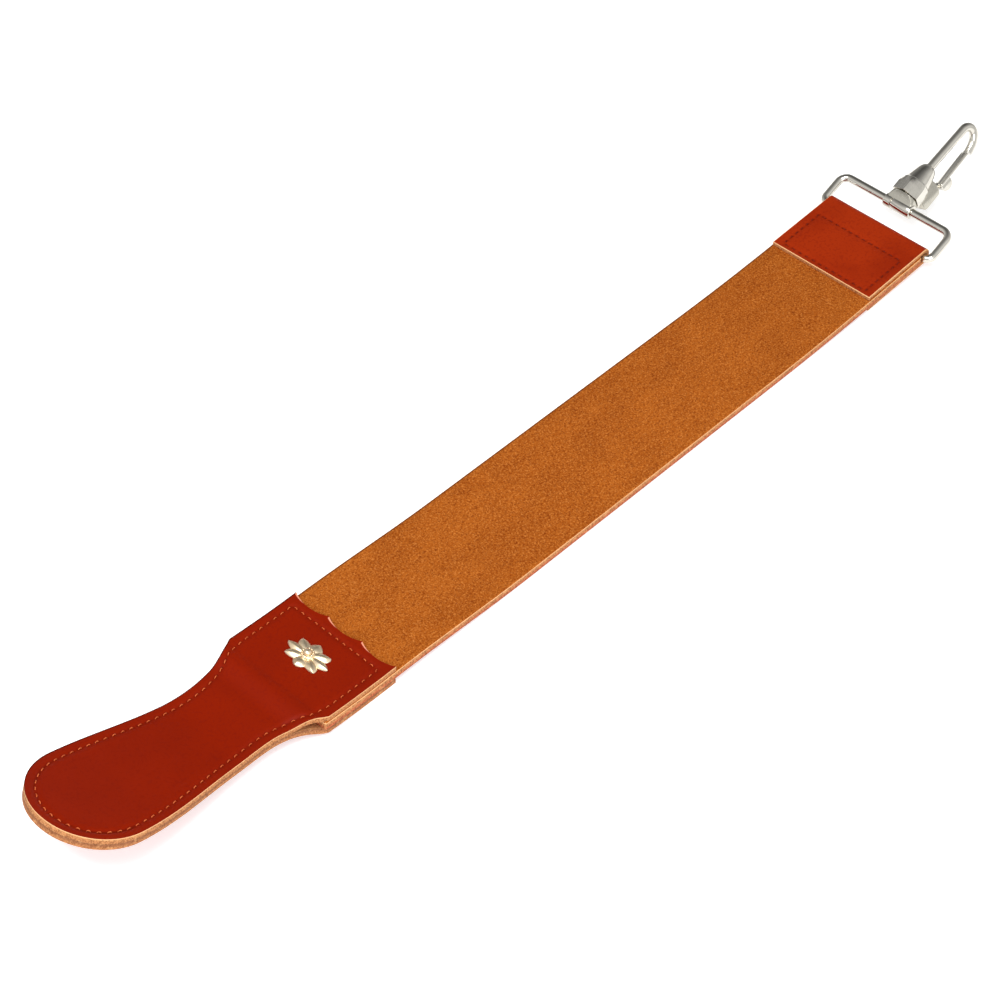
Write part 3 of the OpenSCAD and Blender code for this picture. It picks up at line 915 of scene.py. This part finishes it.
gateDims = {"pivot": (14.2, -8.3), "knuckle": 1.35, "top": -8.4, "low": -9.9, "half": 2.0, "tip": 37.4,
            "thumb": (21.6, -10.2, 3.1), "leverStart": 5, "armEnd": 6, "arm": (-2.4, 0.2),
            "tongue": (-2, 2.3, -9.25, 1.2)}


def turn(name, profile, steps=48, axis="X"):  # a turned piece: (along, radius) pairs from start to end
    mesh = bpy.data.meshes.new(name)
    mesh.from_pydata([Vector((radius, 0, along)) * mm for along, radius in reversed(profile)],
                     [(k, k + 1) for k in range(len(profile) - 1)], [])
    piece = bpy.data.objects.new(name, mesh)
    bpy.context.scene.collection.objects.link(piece)
    addModifier(piece, "SCREW", steps=steps, render_steps=steps, use_merge_vertices=True,
                merge_threshold=0.005 * mm, use_smooth_shade=True)
    lay = Matrix.Rotation(pi / 2, 4, "Y") if axis == "X" else Matrix.Rotation(-pi / 2, 4, "X")
    piece = faceOutward(settle(piece, lay), 0.004)
    piece.data.shade_smooth()
    piece.data.set_sharp_from_angle(angle=radians(50))
    return piece


def useSecond(piece):  # faces that carry the second finish of the piece they join
    piece.data.materials.clear()
    piece.data.materials.append(None)
    piece.data.materials.append(None)
    piece.data.polygons.foreach_set("material_index", [1] * len(piece.data.polygons))
    return piece


def makeEye():
    radius, half, bore = eyeDims["radius"], eyeDims["length"] / 2, eyeDims["bore"]
    groove = half - eyeDims["groove"] * 1.4
    barrel = turn("eyeBarrel", [(-half, bore), (-half, radius - 0.3), (-half + 0.1, radius - 0.1),
                                (-half + 0.4, radius), (groove - 0.4, radius), (groove - 0.3, radius - 0.1),
                                (groove - 0.25, radius - 0.5), (groove, radius - 0.5),
                                (groove + 0.05, radius - 0.2), (groove + 0.2, radius),
                                (half - 0.4, radius), (half - 0.1, radius - 0.1), (half, radius - 0.3),
                                (half, bore), (-half, bore)], axis="Y")
    start, end, wide = eyeDims["plate"]
    plate = turn("eyePlate", [(start, 0), (start, wide - 0.5), (start + 0.1, wide - 0.2),
                              (start + 0.3, wide), (end - 0.2, wide), (end - 0.08, wide - 0.1),
                              (end, wide - 0.3), (end, 0)])
    neck = roundEdges(loft("eyeNeck", [roundedBox(0.4, half - 0.35, radius - 0.15, 0.9),
                                       roundedBox(1.5, half - 0.4, 3.4, 1.2),
                                       roundedBox(2.7, half - 0.6, 4.3, 2.2),
                                       roundedBox(4.0, half - 0.75, 5.5, 4.2)]), 0.15, 2, 25)
    neck = applyStack(neck)
    eye = joinPieces("swivelEye", [barrel, useSecond(plate), useSecond(neck)])
    eye.data.transform(eyeFrame)
    paint(eye, nickel, castNickel)
    return fitPiece(eye, "swivel", "nickel_plate", "swivel_eye")


boxFaces = [(0, 1, 3, 2), (4, 6, 7, 5), (0, 4, 5, 1), (2, 3, 7, 6), (0, 2, 6, 4), (1, 5, 7, 3)]


def block(name, low, high, edge, segments=3):
    corners = [(x, y, z) for x in (low[0], high[0]) for y in (low[1], high[1]) for z in (low[2], high[2])]
    return roundEdges(newPiece(name, corners, boxFaces), edge, segments)


def loft(name, rings):  # closed rings of the same length, capped at both ends
    count = len(rings[0])
    points = [p for ring in rings for p in ring]
    faces = [(k * count + s, k * count + (s + 1) % count, (k + 1) * count + (s + 1) % count,
              (k + 1) * count + s) for k in range(len(rings) - 1) for s in range(count)]
    faces.append(tuple(reversed(range(count))))
    faces.append(tuple((len(rings) - 1) * count + s for s in range(count)))
    return faceOutward(newPiece(name, points, faces))


def roundedBox(x, halfY, halfZ, corner):  # a ring round the X axis
    middles = ((halfY - corner, halfZ - corner), (corner - halfY, halfZ - corner),
               (corner - halfY, corner - halfZ), (halfY - corner, corner - halfZ))
    return [(x, y, z) for k, middle in enumerate(middles)
            for y, z in roundCorner(middle, corner, 90 * k, 90, 4)]


def facetRing(x, radius, limit):  # a polygon with its corners cut back to a limit
    sides = hookDims["sides"]
    ring = []
    for k in range(sides):
        for part in (0.0, 0.04, 0.27, 0.5, 0.73, 0.96):
            angle = 2 * pi * (k + part) / sides
            reach = min(radius * cos(pi / sides) / cos((2 * part - 1) * pi / sides), limit)
            ring.append((x, reach * sin(angle), reach * cos(angle)))
    return ring


def plank(name, outline, low, high, edge, segments=3):  # an outline in X and Y, thick along Z
    count = len(outline)
    points = [(x, y, z) for z in (low, high) for x, y in outline]
    faces = [tuple(range(count)), tuple(reversed(range(count, 2 * count)))]
    faces += [(k, (k + 1) % count, count + (k + 1) % count, count + k) for k in range(count)]
    return roundEdges(faceOutward(newPiece(name, points, faces)), edge, segments, 40)


def crisp(piece, angle):
    piece = applyStack(piece)
    piece.data.shade_smooth()
    piece.data.set_sharp_from_angle(angle=radians(angle))
    return piece


def spineRoute():
    lean = radians(hookDims["lean"])
    end = Vector(hookDims["spineEnd"])
    start = Vector((hookDims["shoulder"], end.y + (end.x - hookDims["shoulder"]) * tan(lean)))
    route = [start, start.lerp(end, 0.5), end]
    heading = -lean
    here = end.copy()
    for radius, sweep, steps in ((hookDims["apex"], hookDims["apexTurn"], 20),
                                 (hookDims["nose"], hookDims["noseTurn"], 8)):
        centre = here + radius * Vector((sin(heading), -cos(heading)))
        for k in range(1, steps + 1):
            now = heading - radians(sweep) * k / steps
            route.append(centre - radius * Vector((sin(now), -cos(now))))
        heading -= radians(sweep)
        here = route[-1].copy()
    route.append(here + hookDims["noseEnd"] * Vector((cos(heading), sin(heading))))
    return route


def makeHookBody():
    body, rim, shoulder = hookDims["body"], hookDims["rim"], hookDims["shoulder"]
    rings = [facetRing(rim, body, body)]
    rings += [facetRing(shoulder - before, body, body - cut) for before, cut in hookDims["cuts"]]
    rings += [facetRing(x, 2 * body, radius) for x, radius in hookDims["dome"]]
    cast = loft("castBody", rings)
    start, end, outer, half = hookDims["house"]
    bend = hookDims["houseBend"]
    bulge, farRoot, nearRoot = hookDims["houseRoot"]
    outline = (roundCorner((start + bend, outer + bend), bend, 180, 90, 5)
               + roundCorner((end - bend, outer + bend), bend, 270, 90, 5)
               + [(end + bulge[0], bulge[1]), (end + farRoot[0], farRoot[1]),
                  (start + nearRoot[0], nearRoot[1])])
    house = plank("castHouse", outline, -half, half, 0.7, 4)
    slotHalf, slotFloor = hookDims["slot"]
    first, last = hookDims["slotEnds"]
    slot = block("slotCutter", (first, outer - 1, -slotHalf), (last, slotFloor, slotHalf), 0.2, 2)
    slot, house = applyStack(slot), applyStack(house)
    addModifier(house, "BOOLEAN", object=slot, operation="DIFFERENCE", solver="EXACT")
    house = applyStack(house)
    bpy.data.objects.remove(slot)
    wire = makeWire("spineWire", [(p.x, p.y, 0) for p in spineRoute()], hookDims["stock"] / 2)
    hook = joinPieces("hookBody", [crisp(cast, 20), useSecond(crisp(house, 28)), crisp(wire, 50)])
    hook.data.transform(hookFrame)
    paint(hook, nickel, castNickel)
    roundEdges(hook, 0.1, 2, 25)
    return fitPiece(hook, "hook", "nickel_plate", "hook_body")


def makeGate():
    pivot, top, low, half, tip = (gateDims[key] for key in ("pivot", "top", "low", "half", "tip"))
    thumbX, thumbY, bump = gateDims["thumb"]
    back, front = gateDims["arm"]
    tongueStart, tongueEnd, tongueLow, tongueHalf = gateDims["tongue"]
    lever = block("gateLever", (pivot[0] + gateDims["leverStart"], low, -half), (tip, top, half), 0.68, 4)
    arm = block("gateArm", (pivot[0], low, back), (pivot[0] + gateDims["armEnd"], top, front), 0.3, 2)
    knuckle = plank("gateKnuckle", roundCorner(pivot, gateDims["knuckle"], 0, 345, 23), back, front, 0.2, 2)
    thumb = plank("gateThumb", roundCorner((thumbX, thumbY), bump, 160, 220, 22), -half, half, 0.7, 4)
    tongue = block("gateTongue", (tip + tongueStart, tongueLow, -tongueHalf),
                   (tip + tongueEnd, top, tongueHalf), 0.25, 2)
    gate = joinPieces("snapGate", [crisp(piece, 40) for piece in (lever, arm, knuckle, thumb, tongue)])
    gate.data.transform(hookFrame)
    paint(gate, nickel)
    return fitPiece(gate, "gate", "nickel_plate", "gate")


makeEye()
makeHookBody()
makeGate()
print("ring, swivel and snap hook are made")


# Ornament: a generic oval rosette of eight petals round a domed centre

rosetteDims = {"place": 17.5, "length": 20, "width": 13, "petals": 8, "boss": 2.6, "beads": 12,
               "bead": (0.42, 2.05, 2.1), "rise": ((0.0, 0.9), (0.45, 1.45), (0.8, 1.2), (1.0, 0.55))}


def makeRosette():
    long, wide, petals = rosetteDims["length"] / 2, rosetteDims["width"] / 2, rosetteDims["petals"]
    pieces = []
    for k in range(petals):
        angle = 2 * pi * k / petals
        points, faces = [], []
        for reach, height in rosetteDims["rise"]:
            for side in (-1, -0.5, 0, 0.5, 1):
                out = 0.16 + 0.84 * reach
                swell = sin(pi * min(1, 0.18 + 0.82 * reach) ** 1.15) ** 0.7 * 0.3 + 0.05
                x, y = out, side * swell
                lift = height * (1.15 - 0.85 * side ** 2) + 0.22 * (abs(side) < 0.1)
                points.append(((x * cos(angle) - y * sin(angle)) * wide,
                               (x * sin(angle) + y * cos(angle)) * long, lift))
        for i in range(3):
            for s in range(4):
                faces.append((i * 5 + s, (i + 1) * 5 + s, (i + 1) * 5 + s + 1, i * 5 + s + 1))
        petal = newPiece("petal", points, faces)
        addModifier(petal, "SOLIDIFY", thickness=0.5 * mm, offset=-1)
        subdivide(petal, 2)
        pieces.append(applyStack(petal))
    boss = rosetteDims["boss"]
    profile = [(0.0, 0), (0.0, boss), (1.5, boss), (1.9, boss - 0.25), (2.1, boss - 0.7), (2.15, 1.5),
               (2.5, 1.45), (3.0, 1.15), (3.3, 0.6), (3.4, 0)]
    centre = turn("boss", profile, 32)
    centre.data.transform(Matrix.Rotation(-pi / 2, 4, "Y"))
    pieces.append(centre)
    beads = rosetteDims["beads"]
    half, out, lift = rosetteDims["bead"]
    for k in range(beads):
        corners = [(x * half, y * half, z * half) for x in (-1, 1) for y in (-1, 1) for z in (-1, 1)]
        bead = applyStack(subdivide(newPiece("bead", corners, boxFaces), 2))
        at = 2 * pi * k / beads
        bead.data.transform(Matrix.Translation(Vector((out * cos(at), out * sin(at), lift)) * mm))
        pieces.append(bead)
    rosette = joinPieces("rosette", pieces)
    foot, up = onTop(-rosetteDims["place"], 0, 0.0)
    across = Vector((0, 1, 0))
    place = Matrix((across.cross(up), across, up)).transposed().to_4x4()
    rosette.data.transform(Matrix.Translation(foot * mm) @ place)
    rosette.data.shade_smooth()
    paint(rosette, paleGold)
    return fitPiece(rosette, "strop", "ornament_metal", "ornament")


makeRosette()
print("rosette is set on the handle")
